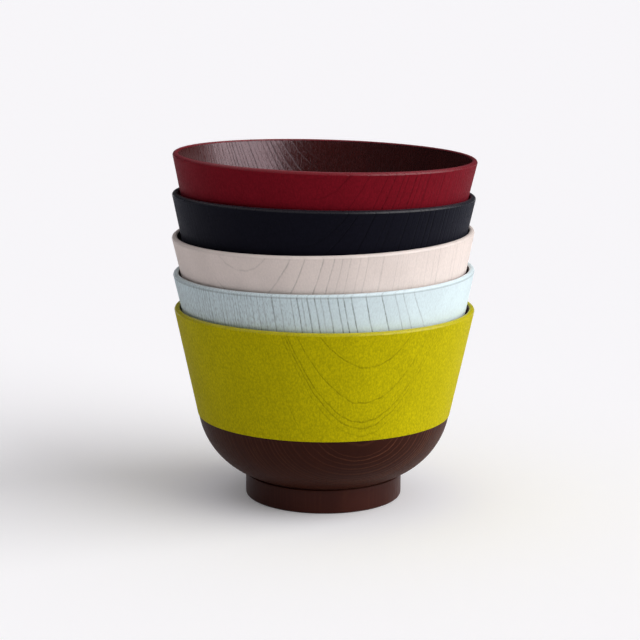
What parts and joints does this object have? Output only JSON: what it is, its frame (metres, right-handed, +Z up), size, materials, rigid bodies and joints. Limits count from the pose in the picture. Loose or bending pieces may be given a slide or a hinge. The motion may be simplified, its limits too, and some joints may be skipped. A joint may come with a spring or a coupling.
{
  "type": "nested soup bowls",
  "caption": "Stack of nested turned wooden soup bowls, each with a low foot ring and a coloured coat over its upper wall and lip, that lift out of one another.",
  "frame": {"origin": "middle of the bottom bowl's foot, on the surface that the stack stands on", "axes": "+Z up along the bottom bowl's turning axis, +X to the right and +Y away from the picture's viewer"},
  "size_m": [0.1157, 0.1157, 0.1338],
  "materials": {
    "dark_wood": "dark stained turned wood with open grain, satin",
    "green_coat": "matte yellow-green coat over open wood grain",
    "blue_coat": "matte pale blue coat over open wood grain",
    "cream_coat": "matte pale pink cream coat over open wood grain",
    "black_coat": "matte blue-black coat over open wood grain",
    "red_coat": "matte dark red coat over open wood grain"
  },
  "bodies": {
    "green_bowl": {"green_bowl_body": "dark_wood", "green_bowl_coat": "green_coat"},
    "blue_bowl": {"blue_bowl_body": "dark_wood", "blue_bowl_coat": "blue_coat"},
    "cream_bowl": {"cream_bowl_body": "dark_wood", "cream_bowl_coat": "cream_coat"},
    "black_bowl": {"black_bowl_body": "dark_wood", "black_bowl_coat": "black_coat"},
    "red_bowl": {"red_bowl_body": "dark_wood", "red_bowl_coat": "red_coat"}
  },
  "joints": [
    {"name": "blue_bowl_lift", "type": "slide", "parent": "green_bowl", "child": "blue_bowl", "axis": [0, 0, 1], "range_m": [0, 0.07]},
    {"name": "cream_bowl_lift", "type": "slide", "parent": "blue_bowl", "child": "cream_bowl", "axis": [0, 0, 1], "range_m": [0, 0.07]},
    {"name": "black_bowl_lift", "type": "slide", "parent": "cream_bowl", "child": "black_bowl", "axis": [0, 0, 1], "range_m": [0, 0.07]},
    {"name": "red_bowl_lift", "type": "slide", "parent": "black_bowl", "child": "red_bowl", "axis": [0, 0, 1], "range_m": [0, 0.07]}
  ]
}
